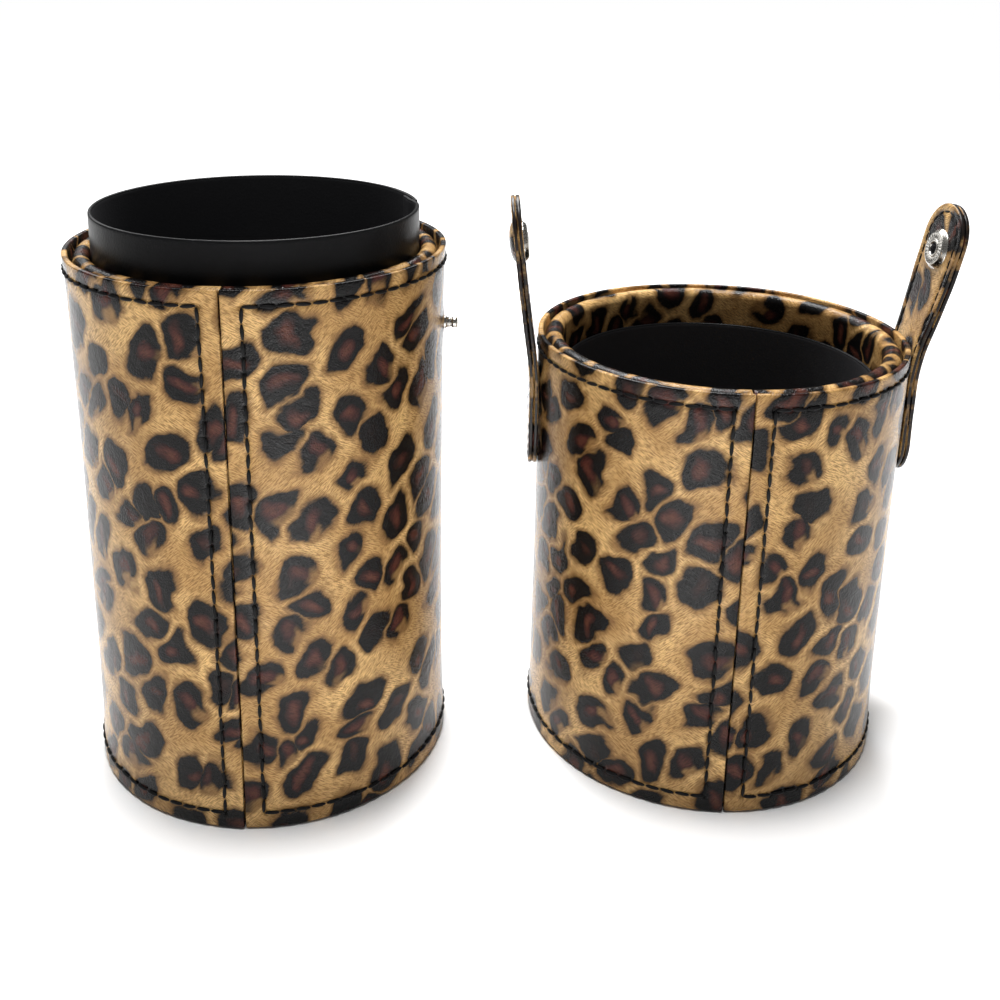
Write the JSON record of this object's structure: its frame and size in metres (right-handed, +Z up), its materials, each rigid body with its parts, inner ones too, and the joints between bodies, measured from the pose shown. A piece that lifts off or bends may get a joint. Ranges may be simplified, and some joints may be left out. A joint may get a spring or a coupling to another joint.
{
  "type": "leather dice cup with lid cup",
  "caption": "Round leopard-print leather cup with a black collar, beside the lid cup that slips over the collar and closes with snap straps.",
  "frame": {"origin": "the centre of the tall cup's flat base, on the surface that both cups stand on", "axes": "+X from the tall cup towards the lid cup, through the snap studs; +Y away from the front seams; +Z up along the cups' axes"},
  "size_m": [0.211, 0.096, 0.1374],
  "materials": {
    "leopard_sleeve": "glossy printed leopard, stitched in black",
    "leopard_cover": "glossy printed leopard, folded over the rim",
    "leopard_strap": "glossy printed leopard, both faces",
    "black_collar": "smooth satin black",
    "black_lining": "matte black",
    "black_thread": "waxed sewing thread",
    "grey_board": "pressed grey board, hidden",
    "snap_metal": "bright nickel"
  },
  "bodies": {
    "cup": {"cup_base_disc": "black_lining", "cup_floor_board": "grey_board", "cup_floor_lining": "black_lining", "cup_board_tube": "grey_board", "cup_tube_cover": "leopard_cover", "cup_liner": "black_collar", "cup_sleeve": "leopard_sleeve", "right_stud": "snap_metal", "right_stud_plate": "snap_metal", "left_stud": "snap_metal", "left_stud_plate": "snap_metal"},
    "lid": {"lid_base_disc": "black_lining", "lid_floor_board": "grey_board", "lid_floor_lining": "black_lining", "lid_board_tube": "grey_board", "lid_tube_cover": "leopard_cover", "lid_liner": "black_collar", "lid_sleeve": "leopard_sleeve", "right_strap_root_inner": "leopard_strap", "right_strap_root_outer": "leopard_strap", "left_strap_root_inner": "leopard_strap", "left_strap_root_outer": "leopard_strap"},
    "right_strap": {"right_strap_inner": "leopard_strap", "right_strap_outer": "leopard_strap", "right_snap_socket": "snap_metal", "right_snap_cap": "leopard_strap"},
    "left_strap": {"left_strap_inner": "leopard_strap", "left_strap_outer": "leopard_strap", "left_snap_socket": "snap_metal", "left_snap_cap": "leopard_strap"}
  },
  "joints": [
    {"name": "lid_lift", "type": "slide", "parent": "cup", "child": "lid", "axis": [0, 0, 1], "range_m": [0, 0.16]},
    {"name": "right_strap_flex", "type": "hinge", "parent": "lid", "child": "right_strap", "pos_m": [0.15518, 0.0095, 0.1054], "axis": [0, 1, 0], "range_deg": [-105, 90]},
    {"name": "left_strap_flex", "type": "hinge", "parent": "lid", "child": "left_strap", "pos_m": [0.06463, 0.0095, 0.1054], "axis": [0, -1, 0], "range_deg": [-99, 28]}
  ]
}
